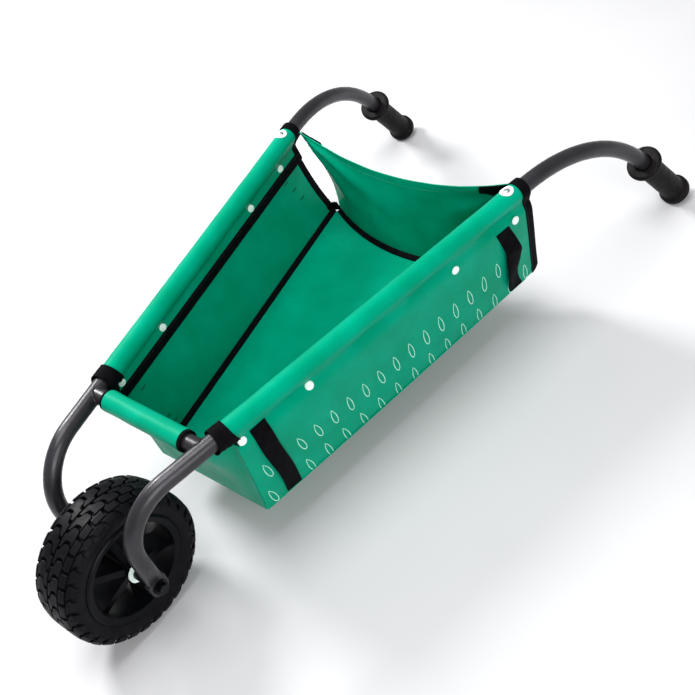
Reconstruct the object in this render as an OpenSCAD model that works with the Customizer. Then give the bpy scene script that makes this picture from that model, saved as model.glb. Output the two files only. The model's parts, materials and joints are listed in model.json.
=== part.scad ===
// Child's wheelbarrow: a fabric tub slung between two bent tubes, with one front wheel.
// +X is the right-hand side, -Y the front (the wheel), +Z up, and z = 0 is the ground.
// At rest it stands on the wheel and on the ends of its two dropped grips.

/* [Frame] */
// Outer diameter of the rail, crossbar and handle tubes
tube_d = 19; // [17:0.5:24]
// Wall of the tubes
tube_wall = 1.5; // [1:0.1:2]
// Distance between the rail axes at the crossbar
front_w = 168; // [150:1:240]
// Angle between each rail and the centre line, seen from above
taper = 11.4; // [6:0.1:16]
// Length of a rail from the crossbar to its open rear end
rail_len = 449; // [360:1:560]
// Centreline radius of the fork bend
fork_r = 62; // [50:1:80]
// Straight tube between the crossbar and the fork bend
fork_reach = 47; // [36:1:70]
// Straight leg from the fork bend down to the axle
fork_drop = 47; // [36:1:70]

/* [Handles] */
// Centreline radius of the handle bend
handle_r = 215; // [175:1:260]
// Angle of the handle bend
handle_bend = 57; // [50:1:64]
// Diameter of the grip's barrel
grip_d = 30; // [26:1:36]
// Diameter of the guard flange at the tube end of the grip
guard_d = 44; // [38:1:50]
// Diameter of the flange at the free end of the grip
end_d = 38; // [34:1:44]

/* [Wheel] */
// Diameter over the tyre
wheel_d = 170; // [140:1:204]
// Width over the tyre's sidewalls
tyre_w = 62; // [52:1:74]
// Diameter of the rim over its lips
rim_d = 122; // [100:1:140]
// Number of spokes
spokes = 6; // [4:1:9]
// Diameter of the axle bolt
axle_d = 8; // [6:1:10]

/* [Tub] */
// Height from the underside of the floor to the rail axis
tub_depth = 139; // [110:1:165]
// Thickness of the fabric panels
cloth = 1.6; // [1.2:0.1:2]
// How far a side panel leans in at the bottom of its front edge
lean_front = 15; // [8:1:20]
// How far a side panel leans in at the bottom of its rear edge
lean_rear = 25; // [15:1:32]
// How far the floor's rear edge curves forward at the centre line
rear_bow = 42; // [20:1:60]
// Width of the fabric bindings
binding_w = 11; // [8:1:14]
// Width of the tool loops
loop_w = 20; // [16:1:25]
// Snap fasteners along each rail, as distances from the crossbar
snap_u = [36, 122, 328, 420];
// Diameter of a snap's cap
snap_d = 9; // [7:0.5:12]

/* [Hidden] */
$fn = 64;

tube_r = tube_d/2;
bore_r = tube_r - tube_wall;
bar_r = tube_r - 0.5;
sleeve_r = tube_r + cloth + 0.15;       // outside of the fabric wrapped round a tube
bar_sleeve_r = bar_r + cloth + 0.15;
band_t = 0.8;                           // how far the black bands stand out from the fabric
front_band_w = 18;
skin_gap = 0.2;                         // between two layers of fabric
rail_h = wheel_d/2 + fork_drop + fork_r; // rail axis above the ground
leg_u = -fork_reach - fork_r;           // fork leg, measured along the rail from the crossbar
axle_x = front_w/2 + leg_u*sin(taper);
axle_y = leg_u*cos(taper);
lug_t = 7;                              // flattened tube end round the axle bolt
lug_r = 11;
flat_h = 26;                            // the fork leg narrows to its lug over this height
hub_half = 30;                          // half length of the rim's hub
hub_r = 10;
seat_r = rim_d/2 - 5;                   // the tyre's seat on the rim
rim_inset = 8;                          // from the tyre's sidewall to the end of its seat
bushing_r = 6.5;
bushing_len = 18;
flange_t = 2;                           // bushing flange
axle_r = axle_d/2;
washer_t = 1.6;
nut_t = 7;
run_gap = 0.05;                         // radial running clearance
side_gap = 0.3;                         // axial clearance beside the turning hub
spigot_len = 60;                        // handle tube inside the rail
spigot_bore_r = bore_r - run_gap - tube_wall;
grip_bore_r = tube_r - 0.1;
tube_in_grip_gap = 5;                   // the tube stops this far short of the grip's free end
button_r = 3.4;
button_u = rail_len - 24;
button_travel = 3;
handle_u = rail_len + 7;                // start of the handle bend
grip_chamfer = 2;
grip_end_r = end_d/2 - grip_chamfer;
// The straight end of the handle is as long as it takes for the grip to meet the ground.
straight_len = (rail_h - handle_r*(1 - cos(handle_bend)) - grip_end_r*cos(handle_bend))/sin(handle_bend);
grip_len = min(straight_len - 3, 108);
handle_end_y = (handle_u + handle_r*sin(handle_bend) + straight_len*cos(handle_bend))*cos(taper);
handle_dy = cos(handle_bend)*cos(taper);
front_y = axle_y - wheel_d/2;
back_y = handle_end_y - grip_chamfer*handle_dy + end_d/2*sqrt(1 - handle_dy^2);
mid_y = (front_y + back_y)/2;           // the origin is under the middle of the barrow

floor_z = rail_h - tub_depth;           // underside of the floor
floor_t = 2.2;
floor_top = floor_z + floor_t;
panel_top = 3.25 - sleeve_r;            // side panels leave the sleeve here, below the rail axis
panel_bottom = floor_top - rail_h;
panel_front_u = 28;
panel_rear_u = [rail_len - 1, rail_len + 9]; // rear edge at the top and at the bottom
flap_meet = panel_top - 13;             // inner flap lies against the side panel below here
flap_edge = flap_meet - 14;
snap_z = flap_meet - 5;
snap_cap_t = 1.2;
snap_ring_t = 1.2;
seam_w = 7;                             // black tape over the floor's seams
seam_t = 1.2;
bar_binding_w = 12;
bar_sleeve_half = front_w/2 - tube_r - 4.5 - bar_binding_w;
loop_front_u = [56, 67];                // middle of a tool loop along the rail, at its top and at the floor
loop_rear_u = [rail_len - 46, rail_len - 31];
loop_front_top = panel_top - 5;
loop_rear_top = panel_top - 16;
grommet_r = 8;                          // eyelet round the button
rear_sag = 16;                          // top edge of the rear panel
rear_top_bow = 18;
rear_top_rise = 2;                      // corners of the rear panel above the rail axis
rear_y = (rail_len - 4)*cos(taper);
rear_pinch = 12;                        // the rear panel's side edges curve in by this much

// ---- places ----------------------------------------------------------------------------------------

module centre() translate([0, -mid_y, 0]) children();
module right() centre() children();
module left() mirror([1, 0, 0]) centre() children();
module right_and_left() for (s = [0, 1]) mirror([s, 0, 0]) children();
// Along the right rail: local Y runs back along the tube from the crossbar, local X points outward.
module on_rail() translate([front_w/2, 0, rail_h]) rotate([0, 0, -taper]) children();
module at_axle() translate([0, axle_y, wheel_d/2]) rotate([0, 90, 0]) children();
// The flat frame of the handle bend's end, with Z along the grip towards its free end
module on_grip() on_rail()
    translate([0, handle_u + handle_r*sin(handle_bend), -handle_r*(1 - cos(handle_bend))])
        rotate([-90 - handle_bend, 0, 0]) children();

function mix(a, b, t) = a + (b - a)*t;
function ease(t) = let (s = min(max(t, 0), 1)) s*s*(3 - 2*s);
function lean(u) = mix(lean_front, lean_rear, u/rail_len);
// Outer face of a side panel, in the rail's frame, at distance u along the rail and height z
function face_x(u, z) = sleeve_r + lean(u)*z/tub_depth;
// Rear edge of a side panel at height z
function rear_u(z) = mix(panel_rear_u[0], panel_rear_u[1], (z - panel_top)/(panel_bottom - panel_top));
function plan(u, x) = [front_w/2 + u*sin(taper) + x*cos(taper), u*cos(taper) - x*sin(taper)];
rear_corner = plan(panel_rear_u[1], face_x(panel_rear_u[1], panel_bottom));
front_corner = plan(panel_front_u, face_x(panel_front_u, panel_bottom));
rear_half = rear_corner[0] - 12;        // rear panel, at the floor
rear_top_half = plan(rail_len - 4, -sleeve_r - 4)[0];

// ---- shapes ----------------------------------------------------------------------------------------

module ring(r, inner) difference() {
    circle(r = r);
    circle(r = inner);
}
module tube(r, inner, length, center = false) linear_extrude(length, center = center) ring(r, inner);
module rod_along_y(r, from, to) translate([0, to, 0]) rotate([90, 0, 0]) cylinder(r = r, h = to - from);
module tube_along_y(r, inner, from, to) translate([0, to, 0]) rotate([90, 0, 0]) tube(r, inner, to - from);
// A solid bend in the vertical plane of the rail, from straight above its centre. It sweeps down to the
// front, or to the rear where rearward is 1.
module bend(r, radius, sweep, rearward = 0) rotate([90, 0, 90]) rotate([0, 0, 90]) mirror([0, rearward, 0])
    rotate_extrude(angle = sweep, $fn = 128) translate([radius, 0]) circle(r = r, $fn = 48);
// A thin solid over the surface at(a, b), a and b from 0 to 1, thickened by the vector depth, which points
// to the side where a and b make a right-handed set with it.
module cloth_over(at, depth, na, nb) {
    function id(i, j, k) = (k*(nb + 1) + j)*(na + 1) + i;
    function quad(p, q, r, s) = [[p, q, r], [p, r, s]];
    points = [for (k = [0, 1], j = [0:nb], i = [0:na]) at(i/na, j/nb) + k*depth];
    faces = [
        for (j = [0:nb - 1], i = [0:na - 1], f = concat(
            quad(id(i, j, 1), id(i, j + 1, 1), id(i + 1, j + 1, 1), id(i + 1, j, 1)),
            quad(id(i, j, 0), id(i + 1, j, 0), id(i + 1, j + 1, 0), id(i, j + 1, 0)))) f,
        for (i = [0:na - 1], f = concat(
            quad(id(i, 0, 0), id(i, 0, 1), id(i + 1, 0, 1), id(i + 1, 0, 0)),
            quad(id(i, nb, 0), id(i + 1, nb, 0), id(i + 1, nb, 1), id(i, nb, 1)))) f,
        for (j = [0:nb - 1], f = concat(
            quad(id(0, j, 0), id(0, j + 1, 0), id(0, j + 1, 1), id(0, j, 1)),
            quad(id(na, j, 0), id(na, j, 1), id(na, j + 1, 1), id(na, j + 1, 0)))) f];
    polyhedron(points, faces);
}

// ---- frame -----------------------------------------------------------------------------------------

module rail_path(r, past_end, leg) on_rail() {
    rod_along_y(r, -fork_reach, rail_len + past_end);
    translate([0, -fork_reach, -fork_r]) bend(r, fork_r, 90);
    translate([0, leg_u, -fork_r - leg]) cylinder(r = r, h = leg);
}
// One tube makes the rail, the fork bend and the fork leg, and ends in a flattened, drilled lug.
module rail() color("#2d2c30") difference() {
    union() {
        rail_path(tube_r, 0, fork_drop);
        translate([axle_x, axle_y, wheel_d/2]) {
            rotate([0, 90, 0]) cylinder(r = lug_r, h = lug_t, center = true);
            translate([-lug_t/2, -lug_r, 0]) cube([lug_t, 2*lug_r, lug_r]);
        }
    }
    rail_path(bore_r, 1, fork_drop - flat_h - lug_r);
    translate([axle_x, axle_y, wheel_d/2]) rotate([90, 0, 0]) for (s = [0, 1]) mirror([s, 0, 0])
        linear_extrude(2*tube_d, center = true) polygon([[lug_t/2, -lug_r - 1], [lug_t/2, lug_r],
            [tube_r, flat_h + lug_r], [tube_d, flat_h + lug_r], [tube_d, -lug_r - 1]]);
    at_axle() cylinder(r = axle_r, h = 2*axle_x + 2*lug_t + 2, center = true);
    on_rail() translate([0, button_u, 0]) cylinder(r = button_r + run_gap, h = tube_d);
}
// The crossbar is a little thinner than the rails and is coped and welded to them.
module crossbar() color("#2d2c30") difference() {
    translate([0, 0, rail_h]) rotate([0, 90, 0]) tube(bar_r, bar_r - tube_wall, front_w, center = true);
    right_and_left() on_rail() rod_along_y(tube_r, -2*tube_d, 2*tube_d);
}
module handle() color("#2d2c30") difference() {
    union() {
        on_rail() {
            rod_along_y(bore_r - run_gap, rail_len - spigot_len, rail_len + 1);
            rod_along_y(tube_r, rail_len + side_gap, handle_u);
            translate([0, handle_u, -handle_r]) bend(tube_r, handle_r, handle_bend, rearward = 1);
        }
        on_grip() translate([0, 0, -1]) cylinder(r = grip_bore_r, h = straight_len - tube_in_grip_gap + 1);
    }
    on_rail() {
        rod_along_y(spigot_bore_r, rail_len - spigot_len - 1, handle_u);
        translate([0, handle_u, -handle_r]) bend(spigot_bore_r, handle_r, handle_bend, rearward = 1);
        translate([0, button_u, 0]) cylinder(r = button_r + run_gap, h = tube_d);
    }
    on_grip() translate([0, 0, -1]) cylinder(r = spigot_bore_r - 0.1, h = straight_len);
}
// The grip is one moulding: a round guard flange, a barrel and a wide closed end.
module grip() color("#1b1a1d") {
    start = straight_len - grip_len;
    guard_t = 6;
    end_t = 8;
    slope = 3;                          // between a flange and the barrel
    edge = 1.5;                         // chamfer of a flange
    on_grip() difference() {
        rotate_extrude() polygon([[0, start], [guard_d/2 - edge, start], [guard_d/2, start + edge],
            [guard_d/2, start + guard_t - edge], [guard_d/2 - edge, start + guard_t],
            [grip_d/2 + 1, start + guard_t], [grip_d/2, start + guard_t + slope],
            [grip_d/2, straight_len - end_t - slope], [end_d/2 - edge, straight_len - end_t],
            [end_d/2, straight_len - end_t + edge], [end_d/2, straight_len - grip_chamfer],
            [grip_end_r, straight_len], [0, straight_len]]);
        translate([0, 0, start - 1])
            cylinder(r = grip_bore_r, h = straight_len - tube_in_grip_gap - start + 1);
    }
}
// A domed pin that locks the handle in the rail and presses in to let it go
module button() color("#c9cacc") on_rail() translate([0, button_u, 0]) intersection() {
    dome_r = 6;
    top = tube_r + button_travel + 0.2;
    foot = 2;
    translate([0, 0, foot]) cylinder(r = button_r, h = top - foot);
    translate([0, 0, top - dome_r]) sphere(r = dome_r);
}

// ---- wheel -----------------------------------------------------------------------------------------

module tyre() color("#151516") at_axle() {
    r = wheel_d/2;
    w = tyre_w/2;
    bulge_r = rim_d/2 + 11;             // the sidewall is widest here
    rotate_extrude($fn = 128) polygon([[seat_r, -w + rim_inset], [rim_d/2 + 1, -w + 2.5], [bulge_r, -w],
        [r - 6, -w + 1], [r - 2, -w + 6], [r, -w + 15], [r, w - 15], [r - 2, w - 6], [r - 6, w - 1],
        [bulge_r, w], [rim_d/2 + 1, w - 2.5], [seat_r, w - rim_inset]]);
}
module rim() color("#1c1d21") at_axle() {
    half = tyre_w/2 - rim_inset;
    barrel_r = seat_r - 3.5;            // inside of the barrel
    lip_r = rim_d/2 - 2;
    spoke_w = 8;
    rotate_extrude($fn = 96) polygon([[barrel_r, -half - 4], [lip_r, -half - 6.5], [rim_d/2, -half - 5],
        [seat_r, -half], [seat_r, half], [rim_d/2, half + 5], [lip_r, half + 6.5], [barrel_r, half + 4]]);
    difference() {
        union() {
            cylinder(r = hub_r, h = 2*hub_half, center = true);
            for (i = [0:spokes - 1]) rotate([90, 0, 360/spokes*i]) linear_extrude(spoke_w, center = true)
                polygon([[0, -half], [hub_r, -half], [barrel_r + 1, -half/2], [barrel_r + 1, half/2],
                    [hub_r, half], [0, half]]);
        }
        cylinder(r = bushing_r, h = 3*hub_half, center = true);
    }
}
module bushing() color("#e6e8e8") at_axle() difference() {
    union() {
        translate([0, 0, hub_half - bushing_len]) cylinder(r = bushing_r, h = bushing_len);
        translate([0, 0, hub_half]) cylinder(r = hub_r + 1.5, h = flange_t);
    }
    cylinder(r = axle_r + run_gap, h = 2*hub_half);
}
module spacer() color("#1c1d21") at_axle() translate([0, 0, hub_half + flange_t + side_gap])
    tube(axle_r + 3, axle_r, axle_x - lug_t/2 - hub_half - flange_t - side_gap);
module washer() color("#9a9ba0") at_axle() translate([0, 0, axle_x + lug_t/2])
    tube(axle_r + 4.5, axle_r, washer_t);
module axle_bolt() color("#9a9ba0") at_axle() {
    past_lug = washer_t + nut_t + 2.4;  // the thread stands out of the nut
    translate([0, 0, -axle_x - lug_t/2 - past_lug]) cylinder(r = axle_r, h = 2*axle_x + lug_t + past_lug + 2);
    translate([0, 0, axle_x + lug_t/2 + washer_t]) cylinder(r = axle_r*1.6, h = 5, $fn = 6);
}
module axle_nut() color("#9a9ba0") at_axle() translate([0, 0, -axle_x - lug_t/2 - washer_t - nut_t])
    difference() {
        cylinder(r = axle_r*1.85, h = nut_t, $fn = 6);
        translate([0, 0, -1]) cylinder(r = axle_r, h = nut_t + 2);
    }

// ---- fabric tub ------------------------------------------------------------------------------------

module side_panel() color("#009b74") on_rail() {
    at = function (a, b) let (z = mix(panel_top, panel_bottom, b),
        u = mix(panel_front_u, rear_u(z) - binding_w, a)) [face_x(u, z), u, z];
    cloth_over(at, [-cloth, 0, 0], 8, 3);
}
module rail_sleeve() color("#00a87f") on_rail() difference() {
    tube_along_y(sleeve_r, tube_r + run_gap, panel_front_u, rail_len - binding_w);
    translate([0, button_u, 0]) cylinder(r = button_r + 2, h = tube_d);
}
// The end of the side panel comes over the rail and down inside, where snaps hold it.
module inner_flap() color("#009b74") on_rail() {
    at = function (a, b) let (z = mix(panel_top, flap_edge, b),
        u = mix(panel_front_u, rail_len - binding_w, a),
        against = face_x(u, z) - cloth - 2*skin_gap)
        [mix(-sleeve_r + 3, against, ease((z - panel_top)/(flap_meet - panel_top))), u, z];
    cloth_over(at, [-cloth, 0, 0], 8, 8);
}
module flap_binding() color("#101113") on_rail() {
    at = function (a, b) let (z = mix(flap_edge, flap_edge - binding_w, b),
        u = mix(panel_front_u, rail_len - binding_w, a)) [face_x(u, z) - cloth - skin_gap, u, z];
    cloth_over(at, [-cloth - band_t, 0, 0], 8, 1);
}
// Black band round the front end of the sleeve
module front_band() color("#101113") on_rail()
    tube_along_y(sleeve_r + band_t, tube_r + run_gap, panel_front_u - front_band_w, panel_front_u);
module rear_binding() color("#101113") on_rail() {
    at = function (a, b) let (z = mix(panel_top - 4, panel_bottom, b),
        u = rear_u(z) - binding_w*(1 - a)) [face_x(u, z) + 0.5, u, z];
    cloth_over(at, [-cloth - 1, 0, 0], 2, 4);
}
module front_panel() color("#009b74") {
    at = function (a, b) let (z = mix(rail_h - sleeve_r, floor_top, b),
        half = mix(front_w/2 - sleeve_r, front_corner[0] - 2, ease(b*3)))
        [mix(-half, half, a), mix(tube_r/2, front_corner[1] - cloth - skin_gap, ease(b*4)), z];
    cloth_over(at, [0, cloth, 0], 6, 12);
}
module crossbar_sleeve() color("#00b48f") translate([0, 0, rail_h]) rotate([0, 90, 0])
    tube(bar_sleeve_r, bar_r + run_gap, 2*bar_sleeve_half, center = true);
module crossbar_binding() color("#101113") translate([bar_sleeve_half, 0, rail_h]) rotate([0, 90, 0])
    tube(bar_sleeve_r + band_t, bar_r + run_gap, bar_binding_w);
function rear_curve(x, half, bow) = -bow*(1 - (x/half)^2);
// The rear wall's outer face at x and at b, from 0 at its top edge to 1 at the floor: it is bowed forward,
// sags at the top, and is free of the side panels between its corners.
function rear_half_at(b) = mix(rear_top_half, rear_half, b) - rear_pinch*sin(180*b);
function rear_face(x, b) = [x,
    mix(rear_y, rear_corner[1], b) + rear_curve(x, rear_half_at(b), mix(rear_top_bow, rear_bow, b)),
    mix(rail_h + rear_top_rise + rear_curve(x, rear_half_at(b), rear_sag), floor_top, b)];
module floor_panel() color("#008f6b") translate([0, 0, floor_z]) linear_extrude(floor_t) {
    steps = 16;
    polygon(concat(
        [[-front_corner[0], front_corner[1] - cloth], [front_corner[0], front_corner[1] - cloth]],
        [rear_corner],
        [for (i = [steps:-1:0]) let (x = mix(-rear_half, rear_half, i/steps))
            [x, rear_corner[1] + rear_curve(x, rear_half, rear_bow)]],
        [[-rear_corner[0], rear_corner[1]]]));
}
module rear_panel() color("#009b74") {
    at = function (a, b) rear_face(mix(-1, 1, a)*rear_half_at(b), b) - [0, cloth, 0];
    cloth_over(at, [0, cloth, 0], 16, 6);
}
module rear_seam() color("#101113") {
    at = function (a, b) let (x = mix(-rear_half, rear_half, a),
        against = rear_corner[1] - cloth - skin_gap + rear_curve(x, rear_half, rear_bow))
        [x, against - seam_w*(1 - b), floor_top];
    cloth_over(at, [0, 0, seam_t], 16, 1);
}
module floor_seam() color("#101113") on_rail() {
    at = function (a, b) let (u = mix(panel_front_u + 2, panel_rear_u[1] - 14, a))
        [face_x(u, panel_bottom) - cloth - skin_gap - seam_w*b, u, panel_bottom];
    cloth_over(at, [0, 0, seam_t], 4, 1);
}
module corner_strap() color("#101113") {
    on_rail() tube_along_y(sleeve_r + 1, tube_r + run_gap, rail_len - binding_w, rail_len);
    patch_b = 0.12;                     // the patch covers this much of the rear panel's height
    at = function (a, b) rear_face(mix(rear_top_half - 30, rear_top_half + 5, a), patch_b*b)
        + [0, skin_gap, 0];
    cloth_over(at, [0, cloth, 0], 4, 1);
}
// Webbing loop for a hand tool, sewn to the side panel at its ends
module tool_loop(ends_u, top, bulge) color("#101113") on_rail() {
    at = function (a, b) let (z = mix(top, panel_bottom, b),
        u = mix(ends_u[0], ends_u[1], b) + loop_w*(a - 0.5))
        [face_x(u, z) + cloth + skin_gap + bulge*sin(180*b), u, z];
    cloth_over(at, [-cloth, 0, 0], 2, 10);
}
// Eyelet that frames the button's hole in the sleeve
module grommet() color("#eef3f1") on_rail() difference() {
    intersection() {
        tube_along_y(sleeve_r + 1.2, sleeve_r, button_u - grommet_r - 1, button_u + grommet_r + 1);
        translate([0, button_u, 0]) cylinder(r = grommet_r, h = tube_d);
    }
    translate([0, button_u, 0]) cylinder(r = button_r + 1, h = tube_d);
}
// A snap has its cap outside and its socket ring inside the two layers of fabric it joins.
module snap(u) color("#dff0ea") on_rail() {
    tilt = atan(lean(u)/tub_depth);
    translate([face_x(u, snap_z), u, snap_z]) rotate([0, 90 + tilt, 0]) {
        cylinder(r1 = snap_d/2, r2 = snap_d/2 - 0.8, h = snap_cap_t);
        translate([0, 0, -2*cloth - 3*skin_gap - snap_ring_t]) tube(snap_d/2, snap_d/2 - 2.4, snap_ring_t);
    }
}

right() rail();  // rail_right
left() rail();  // rail_left
centre() crossbar();
right() handle();  // handle_right
left() handle();  // handle_left
right() grip();  // grip_right
left() grip();  // grip_left
right() button();  // button_right
left() button();  // button_left
centre() tyre();
centre() rim();
right() bushing();  // bushing_right
left() bushing();  // bushing_left
centre() axle_bolt();
centre() axle_nut();
right() washer();  // washer_right
left() washer();  // washer_left
right() spacer();  // spacer_right
left() spacer();  // spacer_left
centre() crossbar_sleeve();
right() crossbar_binding();  // crossbar_binding_right
left() crossbar_binding();  // crossbar_binding_left
centre() front_panel();
centre() floor_panel();
centre() rear_panel();
centre() rear_seam();
right() side_panel();  // side_panel_right
left() side_panel();  // side_panel_left
right() rail_sleeve();  // rail_sleeve_right
left() rail_sleeve();  // rail_sleeve_left
right() inner_flap();  // inner_flap_right
left() inner_flap();  // inner_flap_left
right() flap_binding();  // flap_binding_right
left() flap_binding();  // flap_binding_left
right() front_band();  // front_band_right
left() front_band();  // front_band_left
right() rear_binding();  // rear_binding_right
left() rear_binding();  // rear_binding_left
right() corner_strap();  // corner_strap_right
left() corner_strap();  // corner_strap_left
right() floor_seam();  // floor_seam_right
left() floor_seam();  // floor_seam_left
right() tool_loop(loop_front_u, loop_front_top, 2);  // loop_front_right
left() tool_loop(loop_front_u, loop_front_top, 2);  // loop_front_left
right() tool_loop(loop_rear_u, loop_rear_top, 3);  // loop_rear_right
left() tool_loop(loop_rear_u, loop_rear_top, 3);  // loop_rear_left
right() grommet();  // grommet_right
left() grommet();  // grommet_left
right() snap(snap_u[0]);  // snap_1_right
left() snap(snap_u[0]);  // snap_1_left
right() snap(snap_u[1]);  // snap_2_right
left() snap(snap_u[1]);  // snap_2_left
right() snap(snap_u[2]);  // snap_3_right
left() snap(snap_u[2]);  // snap_3_left
right() snap(snap_u[3]);  // snap_4_right
left() snap(snap_u[3]);  // snap_4_left
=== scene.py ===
# Child's wheelbarrow: a fabric tub slung between two bent tubes, with one chunky front wheel.
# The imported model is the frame. Lengths are in metres, +X is the right-hand side, -Y the front.
import json
import math
import bpy
import bmesh
from mathutils import Matrix, Vector, noise


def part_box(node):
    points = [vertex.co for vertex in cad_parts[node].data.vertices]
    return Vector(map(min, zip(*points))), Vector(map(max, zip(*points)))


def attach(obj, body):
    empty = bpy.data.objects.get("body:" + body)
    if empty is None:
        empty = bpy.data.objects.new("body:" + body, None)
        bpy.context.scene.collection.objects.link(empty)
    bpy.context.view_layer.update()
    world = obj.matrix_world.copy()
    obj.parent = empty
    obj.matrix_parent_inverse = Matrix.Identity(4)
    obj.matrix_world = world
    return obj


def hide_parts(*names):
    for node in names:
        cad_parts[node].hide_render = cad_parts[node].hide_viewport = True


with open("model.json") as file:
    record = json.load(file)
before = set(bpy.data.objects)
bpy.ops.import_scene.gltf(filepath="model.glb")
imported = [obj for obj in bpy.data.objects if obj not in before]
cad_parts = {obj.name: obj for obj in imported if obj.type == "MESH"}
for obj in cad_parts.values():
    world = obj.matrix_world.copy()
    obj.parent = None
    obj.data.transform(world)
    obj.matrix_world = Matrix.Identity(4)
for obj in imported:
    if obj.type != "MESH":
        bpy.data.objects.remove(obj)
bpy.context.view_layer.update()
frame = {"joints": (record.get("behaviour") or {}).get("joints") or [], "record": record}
scene = bpy.context.scene
mm = 0.001
sides = {"right": 1, "left": -1}


def mix(a, b, t):
    return a + (b - a)*t


def ease(t):
    t = min(max(t, 0.0), 1.0)
    return t*t*(3 - 2*t)


def bell(x, width):
    return math.exp(-(x/width)**2)


def ripple(x, y, seed):  # a smooth value from about -1 to 1
    return noise.noise(Vector((x, y, seed)))


def bezier(p0, p1, p2, p3, t):
    s = 1 - t
    return p0*s**3 + p1*3*s*s*t + p2*3*s*t*t + p3*t**3


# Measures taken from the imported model
mounts = {m["name"]: m for m in frame["record"]["mounts"]}
forkTube = mounts["fork_tube_right"]
along = -Vector(forkTube["axis"]).normalized()  # back along the right rail
outward = Vector((along.y, -along.x, 0))
barLow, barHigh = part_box("crossbar")
barY = (barLow.y + barHigh.y)/2
railZ = (barLow.z + barHigh.z)/2
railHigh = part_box("rail_right")[1]
tubeR = railHigh.z - railZ
railX = forkTube["pos_m"][0] + (barY - forkTube["pos_m"][1])*along.x/along.y
railLen = (railHigh.y - barY - tubeR*along.x)/along.y
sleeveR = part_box("rail_sleeve_right")[1].z - railZ
barSleeveLow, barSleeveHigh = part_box("crossbar_sleeve")
barSleeveR = (barSleeveHigh.z - barSleeveLow.z)/2
barSleeveHalf = barSleeveHigh.x
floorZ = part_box("floor_panel")[1].z
axle = Vector(next(j for j in frame["joints"] if j["name"] == "wheel_spin")["pos_m"])
buttonLow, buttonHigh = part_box("button_right")
buttonR = (buttonHigh.x - buttonLow.x)/2
buttonU = ((buttonLow.y + buttonHigh.y)/2 - barY)/along.y
tyreLow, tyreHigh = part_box("tyre")
wheelR = (tyreHigh.z - tyreLow.z)/2

tub = dict(
    depth=139*mm,         # from the rail axis to the underside of the floor
    leanFront=15*mm,      # how far a side leans in at the bottom, front and rear
    leanRear=25*mm,
    frontU=28*mm,         # the cloth starts here, behind the crossbar
    cloth=1.1*mm,
    pinch=6.2*mm,         # the snaps draw the side in under the tube
    pinchZ=-15*mm,
    pinchHeight=6.5*mm,
    sleeveZ=-2.6*mm,      # the side turns into the sleeve here
    sleeveFrom=-13,       # degrees round the tube
    sleeveTo=222,
    flapMeetZ=-27*mm,
    flapEdgeZ=-44*mm,
    flapInside=3.0*mm,    # from the side's outer face to the flap's visible face
    cornerR=11*mm,        # rounded bottom corner at the rear
    belly=2.6*mm,         # how far the side bulges and hollows between its edges
    rearSag=16*mm,
    rearTopBow=18*mm,
    rearBow=42*mm,
    rearPinch=12*mm,
)
bottomZ = floorZ - railZ


def onRail(side, u, x, z):
    return Vector((side*(railX + u*along.x + x*outward.x), barY + u*along.y + x*outward.y, railZ + z))


def faceX(u, z):  # outer face of a side, in the rail's frame
    return sleeveR + mix(tub["leanFront"], tub["leanRear"], u/railLen)*z/tub["depth"]


def rearU(z, side=1):  # rear edge of a side, with its rounded bottom corner; the left one is drawn in
    down = (z + 8*mm)/(bottomZ + 8*mm)
    edge = railLen + mix(-1, 9, down)*mm - (6*mm*math.sin(math.pi*min(max(down, 0), 1)) if side < 0 else 0)
    low = max(bottomZ + tub["cornerR"] - z, 0)
    return edge - tub["cornerR"] + math.sqrt(max(tub["cornerR"]**2 - low**2, 0))


frontCorner = onRail(1, tub["frontU"], faceX(tub["frontU"], bottomZ), bottomZ)
rearCorner = onRail(1, railLen + 9*mm, faceX(railLen + 9*mm, bottomZ), bottomZ)
rearHalf = rearCorner.x - 12*mm
rearTop = onRail(1, railLen - 4*mm, -sleeveR - 4*mm, 2*mm)


def addNode(tree, kind, links=None, **settings):
    node = tree.nodes.new(kind)
    for key, value in settings.items():
        setattr(node, key, value)
    for socket, value in (links or {}).items():
        if isinstance(value, bpy.types.NodeSocket):
            tree.links.new(value, node.inputs[socket])
        else:
            node.inputs[socket].default_value = value
    return node


def srgb(code):  # hex to linear
    channels = [int(code[i:i + 2], 16)/255 for i in (1, 3, 5)]
    return tuple(c/12.92 if c <= 0.04045 else ((c + 0.055)/1.055)**2.4 for c in channels) + (1,)


def newMaterial(name, sockets):
    material = bpy.data.materials.new(name)
    material.use_nodes = True
    tree = material.node_tree
    tree.nodes.clear()
    shader = addNode(tree, "ShaderNodeBsdfPrincipled", sockets)
    addNode(tree, "ShaderNodeOutputMaterial", {"Surface": shader.outputs["BSDF"]})
    return material, tree, shader


def mottle(tree, shader, socket, colors, coordinates, size):
    # Slow variation of a colour or a roughness over a patch of the given size
    spots = addNode(tree, "ShaderNodeTexNoise", {"Vector": coordinates, "Scale": 1/size, "Detail": 3.0})
    span = (0.35, 0.65)
    if isinstance(colors[0], str):
        blend = addNode(tree, "ShaderNodeValToRGB", {"Fac": spots.outputs["Fac"]})
        blend.color_ramp.elements[0].position, blend.color_ramp.elements[1].position = span
        blend.color_ramp.elements[0].color, blend.color_ramp.elements[1].color = map(srgb, colors)
        tree.links.new(blend.outputs["Color"], shader.inputs[socket])
    else:
        blend = addNode(tree, "ShaderNodeMapRange", {
            "Value": spots.outputs["Fac"], "From Min": span[0], "From Max": span[1],
            "To Min": colors[0], "To Max": colors[1]})
        tree.links.new(blend.outputs["Result"], shader.inputs[socket])


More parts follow.
